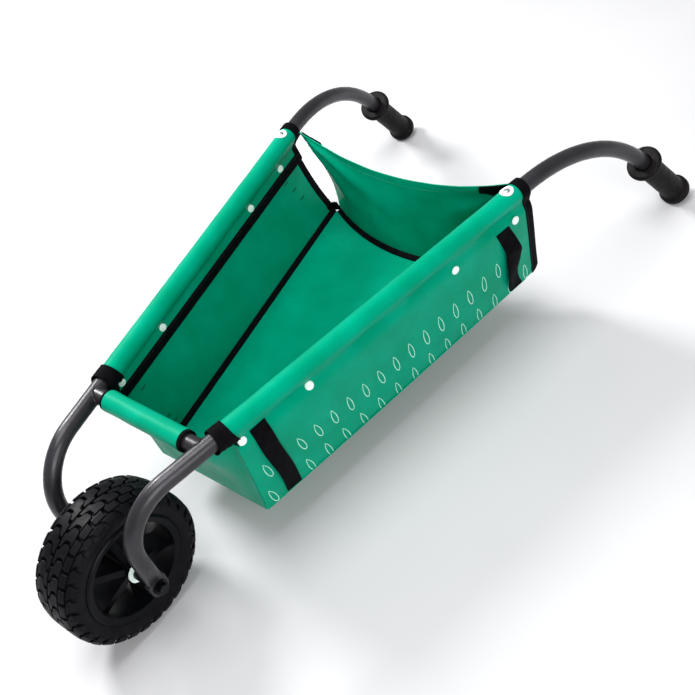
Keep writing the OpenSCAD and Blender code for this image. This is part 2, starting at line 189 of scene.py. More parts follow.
def weaveSines(tree, spacing):
    # The cloth's own coordinates, with a sine along each of them that turns once in each spacing
    uv = addNode(tree, "ShaderNodeUVMap", uv_map="UVMap").outputs["UV"]
    turns = 2*math.pi/spacing
    grid = addNode(tree, "ShaderNodeVectorMath", {0: uv, 1: (turns, turns, 0)}, operation="MULTIPLY")
    axes = addNode(tree, "ShaderNodeSeparateXYZ", {0: grid.outputs["Vector"]})
    sines = [addNode(tree, "ShaderNodeMath", {0: axes.outputs[k]}, operation="SINE") for k in "XY"]
    return uv, sines[0].outputs[0], sines[1].outputs[0]


def coatedPolyester():
    # Plain-weave polyester with a thin polyurethane coat: saturated, smooth, a soft broad shine along folds.
    # The threads are 0.5 mm apart, drawn at 1.1 mm so that they show.
    material, tree, shader = newMaterial("coatedPolyester", {
        "Roughness": 0.4, "IOR": 1.16, "Specular IOR Level": 0.7, "Specular Tint": srgb("#00d8a8"),
        "Sheen Weight": 0.03, "Sheen Roughness": 0.4, "Sheen Tint": srgb("#20e0b8")})
    uv, warp, weft = weaveSines(tree, 1.1*mm)
    weave = addNode(tree, "ShaderNodeMath", {0: warp, 1: weft}, operation="MULTIPLY")
    patches = addNode(tree, "ShaderNodeTexNoise", {"Vector": uv, "Scale": 1/(45*mm), "Detail": 4.0})
    tone = addNode(tree, "ShaderNodeMath", {0: weave.outputs[0], 1: 0.09, 2: patches.outputs["Fac"]},
        operation="MULTIPLY_ADD")
    dye = addNode(tree, "ShaderNodeValToRGB", {"Fac": tone.outputs[0]})
    dye.color_ramp.elements[0].position = 0.3
    dye.color_ramp.elements[1].position = 0.75
    dye.color_ramp.elements[0].color = srgb("#008a68")
    dye.color_ramp.elements[1].color = srgb("#00997a")
    tree.links.new(dye.outputs["Color"], shader.inputs["Base Color"])
    threads = addNode(tree, "ShaderNodeBump", {
        "Height": weave.outputs[0], "Strength": 0.25, "Distance": 0.06*mm})
    hand = addNode(tree, "ShaderNodeTexNoise", {"Vector": uv, "Scale": 1/(26*mm), "Detail": 2.0})
    drape = addNode(tree, "ShaderNodeBump", {
        "Height": hand.outputs["Fac"], "Strength": 0.5, "Distance": 1.6*mm,
        "Normal": threads.outputs["Normal"]})
    tree.links.new(drape.outputs["Normal"], shader.inputs["Normal"])
    return material


def wovenTape():
    # Woven polypropylene tape: near black, with ribs 1.4 mm apart along its length and a faint sheen.
    material, tree, shader = newMaterial("wovenTape", {
        "Roughness": 0.72, "IOR": 1.2, "Specular IOR Level": 0.2,
        "Sheen Weight": 0.03, "Sheen Roughness": 0.4, "Sheen Tint": srgb("#8a8a98")})
    uv, rib, pick = weaveSines(tree, 1.4*mm)
    weave = addNode(tree, "ShaderNodeMath", {0: pick, 1: 0.5, 2: rib}, operation="MULTIPLY_ADD")
    bump = addNode(tree, "ShaderNodeBump", {"Height": weave.outputs[0], "Strength": 0.5, "Distance": 0.15*mm})
    tree.links.new(bump.outputs["Normal"], shader.inputs["Normal"])
    mottle(tree, shader, "Base Color", ("#040406", "#0a0a0d"), uv, 9*mm)
    return material


def objectPlace(tree):
    return addNode(tree, "ShaderNodeTexCoord").outputs["Object"]


def grain(tree, shader, texture, strength, depth, **links):
    # A fine relief from one texture node
    skin = addNode(tree, texture, {"Vector": objectPlace(tree), **links})
    bump = addNode(tree, "ShaderNodeBump", {
        "Height": skin.outputs["Fac"], "Strength": strength, "Distance": depth})
    tree.links.new(bump.outputs["Normal"], shader.inputs["Normal"])
    return skin


def polyesterThread(name, code):
    # Twisted sewing thread: a soft shine and a fine twist.
    material, tree, shader = newMaterial(name, {"Roughness": 0.5, "Base Color": srgb(code)})
    grain(tree, shader, "ShaderNodeTexNoise", 0.4, 0.1*mm, Scale=1/(0.4*mm))
    return material


def screenPrintInk():
    # Plastisol ink pressed through a screen: pale mint, slightly raised and a little uneven.
    material, tree, shader = newMaterial("screenPrintInk", {"Roughness": 0.45})
    mottle(tree, shader, "Base Color", ("#9fe6cf", "#c9fbe9"), objectPlace(tree), 3*mm)
    return material


def powderCoat():
    # Satin polyester powder coat on steel tube: graphite, with orange peel 1.5 mm across and rubbed patches.
    material, tree, shader = newMaterial("powderCoatedSteel", {
        "Metallic": 0.4, "IOR": 1.5, "Coat Weight": 0.12, "Coat Roughness": 0.25})
    mottle(tree, shader, "Base Color", ("#232125", "#2e2c31"), objectPlace(tree), 35*mm)
    mottle(tree, shader, "Roughness", (0.32, 0.42), objectPlace(tree), 12*mm)
    grain(tree, shader, "ShaderNodeTexNoise", 0.2, 0.08*mm, Scale=1/(1.5*mm), Detail=1.0)
    return material


def mouldedRubber(name, dark, light, rough, size, depth):
    # Moulded rubber: matt, slightly dusty, with the fine grain of a blasted mould.
    material, tree, shader = newMaterial(name, {"IOR": 1.2, "Specular IOR Level": 0.4})
    mottle(tree, shader, "Base Color", (dark, light), objectPlace(tree), 14*mm)
    mottle(tree, shader, "Roughness", (rough - 0.06, rough + 0.08), objectPlace(tree), 9*mm)
    grain(tree, shader, "ShaderNodeTexNoise", 0.35, depth, Scale=1/size, Detail=2.0)
    return material


def mouldedPlastic(name, dark, light, rough):
    # Injection-moulded plastic: even, a soft gloss, a trace of flow marks.
    material, tree, shader = newMaterial(name, {"IOR": 1.25, "Specular IOR Level": 0.3})
    mottle(tree, shader, "Base Color", (dark, light), objectPlace(tree), 8*mm)
    flow = grain(tree, shader, "ShaderNodeTexNoise", 0.15, 0.1*mm, Scale=1/(5*mm), Distortion=1.5)
    spread = addNode(tree, "ShaderNodeMapRange", {
        "Value": flow.outputs["Fac"], "To Min": rough - 0.05, "To Max": rough + 0.06})
    tree.links.new(spread.outputs["Result"], shader.inputs["Roughness"])
    return material


def platedSteel(name, dark, light, rough):
    # Plated steel: a metal with fine turning lines and slightly clouded plating.
    material, tree, shader = newMaterial(name, {"Metallic": 1.0})
    mottle(tree, shader, "Base Color", (dark, light), objectPlace(tree), 3*mm)
    mottle(tree, shader, "Roughness", (rough - 0.06, rough + 0.08), objectPlace(tree), 2*mm)
    grain(tree, shader, "ShaderNodeTexWave", 0.1, 0.05*mm, Scale=1/(1.2*mm), Distortion=2.0)
    return material


cloth = coatedPolyester()
tape = wovenTape()
blackThread = polyesterThread("blackThread", "#1b1b20")
greenThread = polyesterThread("greenThread", "#00815f")
ink = screenPrintInk()
paint = powderCoat()
tyreRubber = mouldedRubber("tyreRubber", "#08080b", "#0f0f13", 0.46, 0.9*mm, 0.12*mm)
gripRubber = mouldedRubber("gripRubber", "#0d0b0d", "#161214", 0.5, 0.6*mm, 0.1*mm)
rimPlastic = mouldedPlastic("polypropyleneRim", "#060709", "#0b0c0f", 0.36)
whitePlastic = mouldedPlastic("acetalWhite", "#dff2ec", "#f2fbf8", 0.32)
zinc = platedSteel("zincPlatedSteel", "#b9bbbf", "#d7d9dc", 0.3)
blackSteel = platedSteel("blackenedSteel", "#1d1d20", "#2b2b2f", 0.4)
print("materials done")


def finishMesh(obj, material, sharpAngle=40):
    # Turns the modifiers into plain mesh, so that the piece is what is seen
    graph = bpy.context.evaluated_depsgraph_get()
    plain = bpy.data.meshes.new_from_object(obj.evaluated_get(graph))
    obj.modifiers.clear()
    obj.data = plain
    plain.name = obj.name
    plain.materials.clear()
    plain.materials.append(material)
    plain.polygons.foreach_set("use_smooth", [True]*len(plain.polygons))
    plain.set_sharp_from_angle(angle=math.radians(sharpAngle))
    return obj


def faceOutward(obj, weld=0.0):
    shell = bmesh.new()
    shell.from_mesh(obj.data)
    if weld:
        bmesh.ops.remove_doubles(shell, verts=shell.verts, dist=weld)
    bmesh.ops.recalc_face_normals(shell, faces=shell.faces)
    shell.to_mesh(obj.data)
    shell.free()


def meshPiece(name, points, faces, uvs=None):
    data = bpy.data.meshes.new(name)
    data.from_pydata([tuple(p) for p in points], [], faces)
    if uvs:
        layer = data.uv_layers.new(name="UVMap")
        for loop in data.loops:
            layer.data[loop.index].uv = uvs[loop.vertex_index]
    obj = bpy.data.objects.new(name, data)
    scene.collection.objects.link(obj)
    return obj


def sheetPiece(name, at, cells, thickness, material, flip=False, loops=False):
    # A grid over at(a, b), a and b from 0 to 1, with its faces to the side of a x b, thickened behind them
    na, nb = cells
    rows = [[at(i/na, j/nb) for j in range(nb + 1)] for i in range(na + 1)]
    lengthA = [0.0]
    for i in range(na):
        lengthA.append(lengthA[-1] + (rows[i + 1][nb//2] - rows[i][nb//2]).length)
    points, uvs = [], []
    for i in range(na + 1):
        run = 0.0
        for j in range(nb + 1):
            run += (rows[i][j] - rows[i][j - 1]).length if j else 0
            points.append(rows[i][j])
            uvs.append((lengthA[i], run))
    faces = []
    for i in range(na):
        for j in range(nb):
            quad = [i*(nb + 1) + j, (i + 1)*(nb + 1) + j, (i + 1)*(nb + 1) + j + 1, i*(nb + 1) + j + 1]
            faces.append(quad[::-1] if flip else quad)
    obj = meshPiece(name, points, faces, uvs)
    if loops:  # the sheet closes on itself along b
        merge = obj.modifiers.new("close", "WELD")
        merge.merge_threshold = 0.02*mm
    if thickness:
        wall = obj.modifiers.new("wall", "SOLIDIFY")
        wall.thickness = thickness
        wall.offset = -1
        wall.use_even_offset = True
    return finishMesh(obj, material)


def ringFaces(rings, count, closed=True):
    # Quads between closed rings of count points; when closed, the last ring meets the first
    faces = []
    for i in range(rings if closed else rings - 1):
        m = (i + 1) % rings
        for k in range(count):
            n = (k + 1) % count
            faces.append((i*count + k, i*count + n, m*count + n, m*count + k))
    return faces


def lathePiece(name, profile, origin, axis, material, steps=96, sharpAngle=35, closed=True):
    # Turns (radius, distance along the axis) pairs round an axis; a closed profile is a loop
    axis = Vector(axis).normalized()
    sideways = axis.orthogonal().normalized()
    upward = axis.cross(sideways)
    points, uvs = [], []
    run = 0.0
    for k, (radius, reach) in enumerate(profile):
        run += math.dist(profile[k], profile[k - 1]) if k else 0
        for i in range(steps):
            turn = 2*math.pi*i/steps
            points.append(origin + axis*reach + (sideways*math.cos(turn) + upward*math.sin(turn))*radius)
            uvs.append((turn*radius, run))
    obj = meshPiece(name, points, ringFaces(len(profile), steps, closed), uvs)
    faceOutward(obj, 0.005*mm)
    return finishMesh(obj, material, sharpAngle)


def rounded(corners, radius, steps=4):
    # A closed outline of (radius, distance) corners with each corner rounded off
    outline = []
    count = len(corners)
    for i in range(count):
        p, before, after = (Vector(corners[(i + k) % count]) for k in (0, -1, 1))
        cut = min(radius, (before - p).length*0.45, (after - p).length*0.45)
        a = p + (before - p).normalized()*cut
        b = p + (after - p).normalized()*cut
        for k in range(steps + 1):
            t = k/steps
            q = a*(1 - t)**2 + p*2*t*(1 - t) + b*t*t
            outline.append((max(q.x, 0.0), q.y))
    return outline


def declare(obj, slotName, *nodes):
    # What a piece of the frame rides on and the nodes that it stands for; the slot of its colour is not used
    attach(obj, "frame")
    if nodes:
        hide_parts(*nodes)


def inMm(*pairs):
    return [(x*mm, y*mm) for x, y in pairs]


def joinPieces(name, pieces):
    # Several meshes as one piece, with their places already in their vertices
    whole = bmesh.new()
    materials = []
    for piece in pieces:
        for slot in piece.data.materials:
            if slot not in materials:
                materials.append(slot)
        start = len(whole.faces)
        whole.from_mesh(piece.data)
        whole.faces.ensure_lookup_table()
        own = materials.index(piece.data.materials[0])
        for face in whole.faces[start:]:
            face.material_index = own
        bpy.data.objects.remove(piece)
    data = bpy.data.meshes.new(name)
    whole.to_mesh(data)
    whole.free()
    for slot in materials:
        data.materials.append(slot)
    obj = bpy.data.objects.new(name, data)
    scene.collection.objects.link(obj)
    return obj


sideRows, sleeveRows, innerRows, flapRows = 30, 30, 16, 6
allRows = sideRows + sleeveRows + innerRows + flapRows
rippleMark = {1: 2.0, -1: 7.0}  # keeps the two sides' folds different


def outerX(u, z, side):  # the side's outer face with its slack, and drawn in under the tube
    mark = rippleMark[side]
    t = min(max((z - bottomZ)/(tub["sleeveZ"] - bottomZ), 0), 1)
    pull = tub["pinch"]*(0.8 + 0.2*math.cos(2*math.pi*u/(100*mm)) + 0.3*ripple(u*14, 0, mark))
    belly = tub["belly"]*math.sin(math.pi*t)*ripple(u*7, z*11, mark + 3)
    return faceX(u, z) + belly - pull*bell(z - tub["pinchZ"], tub["pinchHeight"])


def sideSection(u, side):
    # Outer surface of one side's cloth at u, as (x, z): up the side, over the tube and down inside
    mark = rippleMark[side]
    outline = []
    for i in range(sideRows):
        z = mix(bottomZ, tub["sleeveZ"], i/sideRows)
        outline.append(Vector((outerX(u, z, side), z)))
    start, end = math.radians(tub["sleeveFrom"]), math.radians(tub["sleeveTo"])
    for i in range(sleeveRows):
        angle = mix(start, end, i/sleeveRows)
        slack = 0.35*mm*ripple(u*30, angle, mark)*math.sin(math.pi*i/sleeveRows)
        outline.append(Vector((math.cos(angle), math.sin(angle)))*(sleeveR + slack))
    p0 = Vector((math.cos(end), math.sin(end)))*sleeveR
    meet = Vector((faceX(u, tub["flapMeetZ"]) - tub["flapInside"], tub["flapMeetZ"]))
    slope = (meet.x - (faceX(u, tub["flapMeetZ"] - 1*mm) - tub["flapInside"]))/mm
    p1 = p0 + Vector((-math.sin(end), math.cos(end)))*8*mm
    p2 = meet + Vector((slope, 1))*7*mm
    for i in range(innerRows):
        wave = 1.9*mm*ripple(u*26, i*0.12, mark + 9)*math.sin(math.pi*i/innerRows)
        outline.append(bezier(p0, p1, p2, meet, i/innerRows) + Vector((-0.7, -0.7))*wave)
    for i in range(flapRows + 1):
        z = mix(tub["flapMeetZ"], tub["flapEdgeZ"], i/flapRows)
        outline.append(Vector((faceX(u, z) - tub["flapInside"], z)))
    return outline


def sideCloth(name, side):
    steps = 84
    sections = {}

    def at(a, b):
        index = round(b*allRows)
        key = round(a*steps)
        if key not in sections:
            sections[key] = sideSection(mix(tub["frontU"], railLen, a), side)
        x, z = sections[key][index]
        last = rearU(z, side) if index < sideRows else railLen - 1*mm
        return onRail(side, mix(tub["frontU"], last - 0.6*mm, a), x, z)

    obj = sheetPiece(f"sideCloth_{name}", at, (steps, allRows), tub["cloth"], cloth, flip=side < 0)
    # The button comes up through a hole in the sleeve, under its eyelet
    bpy.ops.mesh.primitive_cylinder_add(vertices=40, radius=buttonR + 1*mm, depth=14*mm,
        location=onRail(side, buttonU, 0, sleeveR))
    cutter = bpy.context.object
    hole = obj.modifiers.new("hole", "BOOLEAN")
    hole.operation = "DIFFERENCE"
    hole.solver = "EXACT"
    hole.object = cutter
    finishMesh(obj, cloth)
    bpy.data.objects.remove(cutter)
    declare(obj, "green_fabric", f"side_panel_{name}", f"rail_sleeve_{name}", f"inner_flap_{name}")


for name, side in sides.items():
    sideCloth(name, side)
print("sides done")


def rearCurve(x, half, bow):
    return -bow*(1 - (x/half)**2)


def rearHalfAt(b):
    return mix(rearTop.x, rearHalf, b) - tub["rearPinch"]*math.sin(math.pi*b)


def rearFace(a, b):  # outer face of the rear panel; a from -1 to 1, b from its top edge to the floor
    half = rearHalfAt(b)
    x = a*half
    y = mix(barY + (railLen - 4*mm)*along.y, rearCorner.y, b)
    y += rearCurve(x, half, mix(tub["rearTopBow"], tub["rearBow"], b))
    z = mix(rearTop.z + rearCurve(x, half, tub["rearSag"]), floorZ, b)
    folds = 0.0
    for corner, reach, mark in ((-1, 0.9, 1.0), (1, 0.55, 4.0)):
        dx, dz = (a - corner)*half, b*abs(bottomZ)
        distance = math.hypot(dx, dz)
        angle = math.atan2(dz, abs(dx) + 1e-6)
        strength = bell(distance - 45*mm, 75*mm)*ease(distance/(25*mm))*ease((1 - b)*5)
        folds += reach*strength*math.sin(angle*9 + mark + 1.5*ripple(distance*20, 0, mark))
    soft = ripple(x*11, b*2.2, 5.0)*ease(b*4)*ease((1 - b)*4)
    return Vector((x, y + 2.6*mm*folds + 2.4*mm*soft, z))


def rearCloth():
    obj = sheetPiece("rearCloth", lambda a, b: rearFace(1 - 2*a, b), (96, 48), tub["cloth"], cloth)
    declare(obj, "green_fabric", "rear_panel")


def floorAt(a, b):
    edge = mix(frontCorner.x, rearCorner.x, b) - 11*mm*ease((b - 0.95)/0.05)
    x = (2*a - 1)*edge
    rearY = rearCorner.y + rearCurve(max(-rearHalf, min(rearHalf, x)), rearHalf, tub["rearBow"])
    y = mix(frontCorner.y, rearY, b)
    sag = math.sin(math.pi*a)*math.sin(math.pi*b)
    return Vector((x, y, floorZ - (3.2*sag - 1.0*sag*ripple(x*13, y*9, 3.0))*mm))


def floorCloth():
    obj = sheetPiece("floorCloth", floorAt, (48, 72), 1.4*mm, cloth)
    declare(obj, "green_fabric", "floor_panel")


def frontTop(a):  # top edge of the front panel, from side to side, dipping under the cuffs
    corner = onRail(1, tub["frontU"], faceX(tub["frontU"], -14*mm), 0)
    x = a*corner.x
    beyond = ease((abs(x) - barSleeveHalf)/(38*mm))
    return Vector((x, mix(barY + 5*mm, corner.y, beyond), railZ - barSleeveR + 0.8*mm - 6*mm*beyond))


def frontCloth():
    def at(a, b):
        a = 2*a - 1
        top = frontTop(a)
        low = Vector((a*(frontCorner.x - 1.5*mm), frontCorner.y - 1.5*mm, floorZ))
        p = top.lerp(low, b)
        p.y = mix(top.y, low.y, ease(b*1.25)) - 3.0*mm*math.sin(math.pi*b)*(1 - a*a)
        fold = math.sin(9*abs(a) + 5*b)*bell(abs(a) - 0.72, 0.2) + 0.8*ripple(a*3.1, b*2.4, 8.0)
        p.y += 2.0*mm*fold*math.sin(math.pi*b)*ease((1 - abs(a))*8)
        return p

    obj = sheetPiece("frontCloth", at, (72, 40), tub["cloth"], cloth, flip=True)
    declare(obj, "green_fabric", "front_panel")


def barSleeve():
    def at(a, b):
        x = mix(-barSleeveHalf, barSleeveHalf, a)
        angle = 2*math.pi*b - math.radians(60)
        gather = 0.25*mm*ripple(x*40, math.cos(angle), 6.0)
        radius = barSleeveR + gather + 1.0*mm*bell(abs(x) - barSleeveHalf, 7*mm)*0.3
        droop = 1.2*mm*max(-math.sin(angle), 0)**2  # the cloth hangs a little under the bar
        return Vector((x, barY + radius*math.cos(angle), railZ + (radius + droop)*math.sin(angle)))

    obj = sheetPiece("barSleeve", at, (36, 48), tub["cloth"], cloth, loops=True)
    declare(obj, "green_fabric", "crossbar_sleeve")


rearCloth()
floorCloth()
frontCloth()
barSleeve()
print("panels done")


def sweepPiece(name, frames, outline, material, closed=False):
    # Sweeps a closed outline of (across, normal) pairs along frames of (point, across, normal)
    points, uvs = [], []
    around = [0.0]
    count = len(outline)
    for k in range(1, count):
        around.append(around[-1] + math.dist(outline[k], outline[k - 1]))
    run = 0.0
    for i, (p, across, normal) in enumerate(frames):
        run += (p - frames[i - 1][0]).length if i else 0
        for k, (x, y) in enumerate(outline):
            points.append(p + across*x + normal*y)
            uvs.append((run, around[k]))
    rings = len(frames)
    faces = ringFaces(rings, count, closed)
    if not closed:
        faces.append(tuple(range(count)))
        faces.append(tuple((rings - 1)*count + k for k in range(count)))
    obj = meshPiece(name, points, faces, uvs)
    faceOutward(obj)
    return finishMesh(obj, material, 50)


def flatOutline(low, high, thickness, parts=6):
    # The outline of a folded tape from low to high across, with rounded edges
    half = thickness/2
    outline = []
    for i in range(parts + 1):
        x = mix(low + half, high - half, i/parts)
        outline.append((x, half*(1 + 0.12*math.sin(math.pi*i/parts))))
    for i in range(1, 4):
        angle = math.pi/2 - math.pi*i/4
        outline.append((high - half + half*math.cos(angle), half*math.sin(angle)))
    for i in range(parts + 1):
        outline.append((mix(high - half, low + half, i/parts), -half))
    for i in range(1, 4):
        angle = -math.pi/2 - math.pi*i/4
        outline.append((low + half + half*math.cos(angle), half*math.sin(angle)))
    return outline


def outerPoint(side, u, z, lift=0.0):
    # A point on the outer face, with the direction up the face and the one out of it
    p = onRail(side, u, outerX(u, z, side), z)
    upward = (onRail(side, u, outerX(u, z + mm, side), z + mm) - p).normalized()
    back = (onRail(side, u + mm, outerX(u + mm, z, side), z) - p).normalized()
    normal = (back.cross(upward)*side).normalized()
    if normal.x*side < 0:
        normal = -normal
    return p + normal*lift, upward, normal


def flapPoint(side, u, z, lift=0.0):
    p = onRail(side, u, faceX(u, z) - tub["flapInside"], z)
    upward = (onRail(side, u, faceX(u, z + mm) - tub["flapInside"], z + mm) - p).normalized()
    normal = upward.cross(along).normalized()
    if normal.x*side > 0:
        normal = -normal
    return p + normal*lift, upward, normal


def backAlong(side):  # back along a rail
    return Vector((side*along.x, along.y, 0))


def tapePiece(name, frames, outline, nodes=()):
    obj = sweepPiece(name, frames, outline, tape)
    declare(obj, "black_webbing", *nodes)


def flapFrames(side):
    frames = []
    for i in range(61):
        u = mix(tub["frontU"] + 1*mm, railLen - 2*mm, i/60)
        wave = 0.5*mm*ripple(u*22, 0, 3.0*side)
        frames.append(flapPoint(side, u, tub["flapEdgeZ"] + wave, 0.6*mm))
    return frames


def rearFrames(side):
    frames = []
    r = tub["cornerR"]
    for i in range(21):
        z = mix(-3*mm, bottomZ + r, i/20)
        u = rearU(z, side)
        p, _, normal = outerPoint(side, u, z)
        forward = onRail(side, u - mm, outerX(u - mm, z, side), z) - p
        frames.append((p - normal*0.5*mm, forward.normalized(), normal))
    edge = rearU(bottomZ + r, side)
    for i in range(1, 10):
        turn = math.radians(80)*i/9
        u, z = edge - r + r*math.cos(turn), bottomZ + r - r*math.sin(turn)
        p, _, normal = outerPoint(side, u, z)
        centre = onRail(side, edge - r, outerX(edge - r, bottomZ + r, side), bottomZ + r)
        inward = centre - p
        inward = (inward - normal*inward.dot(normal)).normalized()
        frames.append((p - normal*0.5*mm, inward, normal))
    return frames


def floorEdgeFrames(side):
    frames = []
    for i in range(41):
        u = mix(tub["frontU"] + 4*mm, railLen + 3*mm, i/40)
        p = onRail(side, u, faceX(u, bottomZ) - 4.5*mm, 0)
        p.z = floorZ + 1.7*mm
        across = Vector((-side*0.72, 0, -0.5)).normalized()
        normal = Vector((-side*0.57, 0, 0.82)).normalized()
        frames.append((p, across, normal))
    return frames


def rearSeamFrames():
    frames = []
    for i in range(49):
        x = mix(rearHalf, -rearHalf, i/48)*0.985
        y = rearCorner.y + rearCurve(x, rearHalf, tub["rearBow"])
        ahead = rearCorner.y + rearCurve(x - mm, rearHalf, tub["rearBow"])
        run = Vector((-mm, ahead - y, 0)).normalized()
        inward = Vector((0, 0, 1)).cross(run)
        inward = inward if inward.y < 0 else -inward
        normal = (inward*0.55 + Vector((0, 0, 0.83))).normalized()
        across = (inward*0.83 - Vector((0, 0, 0.55))).normalized()
        frames.append((Vector((x, y - 2.6*mm, floorZ + 2.2*mm)), across, normal))
    return frames


def cuff(name, side):
    # A folded black end piece: narrow on top of the tube, a pointed wedge under it
    def at(a, b):
        angle = 2*math.pi*b - math.radians(90)
        under = bell((angle + math.pi/2 + math.pi) % (2*math.pi) - math.pi, 1.5)
        front = mix(13*mm, 7*mm, under)
        back = tub["frontU"] + mix(1*mm, 9*mm, under)
        u = mix(front, back, a)
        creases = 0.35*mm*ripple(u*130, angle*1.5, 4.0) + 0.5*mm*under*math.sin(u*900)
        radius = sleeveR + 1.0*mm + creases*(0.3 + under)
        drop = 3.2*mm*under*ease(a)
        return onRail(side, u, radius*math.cos(angle), radius*math.sin(angle) - drop)

    obj = sheetPiece(f"cuff_{name}", at, (14, 48), 0.9*mm, tape, flip=side > 0, loops=True)
    declare(obj, "black_webbing", f"front_band_{name}")


toolLoops = dict(
    front=dict(topU=57*mm, topZ=-13*mm, lowU=66*mm, bulge=3.2*mm, sway=-2.5*mm, tuck=1.4*mm, tuckAt=0.2,
        twist=0.12, length=0.126),
    rear=dict(topU=403*mm, topZ=-27*mm, lowU=419*mm, bulge=5.0*mm, sway=6*mm, tuck=2.6*mm, tuckAt=0.3,
        twist=0.3, length=0.114),
)


def toolLoop(name, side, which):
    # A loop of tape down the side's outer face, sewn at both ends
    loop = toolLoops[which]
    frames = []
    for i in range(37):
        t = i/36
        z = mix(loop["topZ"], bottomZ + 2*mm, t)
        u = mix(loop["topU"], loop["lowU"], t) + loop["sway"]*math.sin(math.pi*t)*math.sin(1.4 + 3.2*t)
        ends = ease(t*9)*ease((1 - t)*9)
        rise = loop["bulge"]*math.sin(math.pi*min(max((t - 0.06)/0.88, 0), 1))*ends
        rise += loop["tuck"]*bell(t - loop["tuckAt"], 0.08)
        twist = loop["twist"]*math.sin(2*math.pi*t)*ends
        p, _, normal = outerPoint(side, u, z, 0.9*mm + rise)
        back = backAlong(side).normalized()
        across = (back*math.cos(twist) + normal*math.sin(twist)).normalized()
        frames.append((p, across, (normal*math.cos(twist) - back*math.sin(twist)).normalized()))
    obj = sweepPiece(f"toolLoop_{which}_{name}", frames, flatOutline(-10*mm, 10*mm, 1.7*mm), tape)
    declare(obj, "black_webbing", f"loop_{which}_{name}")


def cornerStrap(name, side):
    # A tape patch on the rear panel's corner, and the band that carries it round the tube
    def patch(a, b):
        reach = mix(1.0, 0.78, a)
        p = rearFace(side*reach, 0.005 + 0.13*b*mix(1, 0.7, a))
        return p + Vector((0, (-1.6 if side > 0 else 3.0)*mm, 0.6*mm*side))

    piece = sheetPiece("patch", patch, (10, 4), 1.2*mm, tape, flip=side < 0)
    ring = []
    radius = sleeveR + 0.7*mm
    for i in range(24):
        angle = 2*math.pi*i/24
        normal = onRail(side, 0, math.cos(angle), math.sin(angle)) - onRail(side, 0, 0, 0)
        p = onRail(side, railLen - 7*mm, radius*math.cos(angle), radius*math.sin(angle))
        ring.append((p, backAlong(side), normal))
    band = sweepPiece("band", ring, flatOutline(-6*mm, 6*mm, 1.4*mm), tape, closed=True)
    obj = joinPieces(f"cornerStrap_{name}", [piece, band])
    declare(obj, "black_webbing", f"corner_strap_{name}")


def flapEnd(name, side):
    # The binding goes on round the sleeve's rear end and down the flap
    section = sideSection(railLen, side)[sideRows + sleeveRows//2 - 1:]
    frames = []
    for i in range(len(section)):
        x, z = section[i]
        ahead = section[min(i + 1, len(section) - 1)] - section[max(i - 1, 0)]
        ahead.normalize()
        p = onRail(side, railLen - 1.5*mm, x, z)
        normal = (onRail(side, railLen - 1.5*mm, x + ahead.y, z - ahead.x) - p).normalized()
        frames.append((p + normal*(-0.5*mm), -backAlong(side).normalized(), normal))
    tapePiece(f"flapEndTape_{name}", frames, flatOutline(-1.2*mm, 9*mm, 3.0*mm))


def frontEdge(name, side):
    # The front panel's top edge is bound as well, behind the crossbar
    frames = []
    for i in range(25):
        p = frontTop(side*mix(0.98, 0.30, i/24)) + Vector((0, 2.0*mm, -1.0*mm))
        normal = Vector((0, 0.92, 0.39))
        frames.append((p, Vector((0, 0.39, -0.92)), normal))
    tapePiece(f"frontEdgeTape_{name}", frames, flatOutline(-4.0*mm, 6*mm, 2.4*mm))


def cornerTab(name, side):
    # A doubled end of tape stands up where the floor, side and rear tapes meet
    foot = Vector((side*(rearCorner.x - 9*mm), rearCorner.y - 2*mm, floorZ + 1*mm))
    frames = []
    for i in range(13):
        t = i/12
        p = foot + Vector((side*2.5*mm*math.sin(2.4*t), -3*mm*t*t, 13*mm*t))
        frames.append((p, Vector((0.88, -0.48*side, 0)), Vector((0.48*side, 0.88, 0))))
    tapePiece(f"cornerTab_{name}", frames, flatOutline(-5.5*mm, 5.5*mm, 3.4*mm))


def barTape(name, side):
    # The crossbar sleeve's end is bound with a ring of tape
    low, high, half = barSleeveR - 0.2*mm, barSleeveR + 1.1*mm, 6*mm
    profile = rounded([(low, -half), (high, -half), (high, half), (low, half)], 0.6*mm)
    centre = Vector((side*(barSleeveHalf - 2*mm), barY, railZ))
    obj = lathePiece(f"barTape_{name}", profile, centre, (1, 0, 0), tape, 48)
    declare(obj, "black_webbing", f"crossbar_binding_{name}")


flapRuns = {name: flapFrames(side) for name, side in sides.items()}
rearRuns = {name: rearFrames(side) for name, side in sides.items()}
for name, side in sides.items():
    for piece, frames, outline, node in (
        ("flapTape", flapRuns[name], flatOutline(-1.2*mm, 11.5*mm, 2.6*mm), "flap_binding"),
        ("rearTape", rearRuns[name], flatOutline(-1.2*mm, 10*mm, 3.0*mm), "rear_binding"),
        ("floorTape", floorEdgeFrames(side), flatOutline(-4*mm, 4*mm, 1.6*mm), "floor_seam"),
    ):
        tapePiece(f"{piece}_{name}", frames, outline, [f"{node}_{name}"])
    flapEnd(name, side)
    frontEdge(name, side)
    cornerTab(name, side)
    cuff(name, side)
    toolLoop(name, side, "front")
    toolLoop(name, side, "rear")
    cornerStrap(name, side)
    barTape(name, side)
tapePiece("rearSeamTape", rearSeamFrames(), flatOutline(-4*mm, 4*mm, 1.8*mm), ["rear_seam"])
print("bindings done")


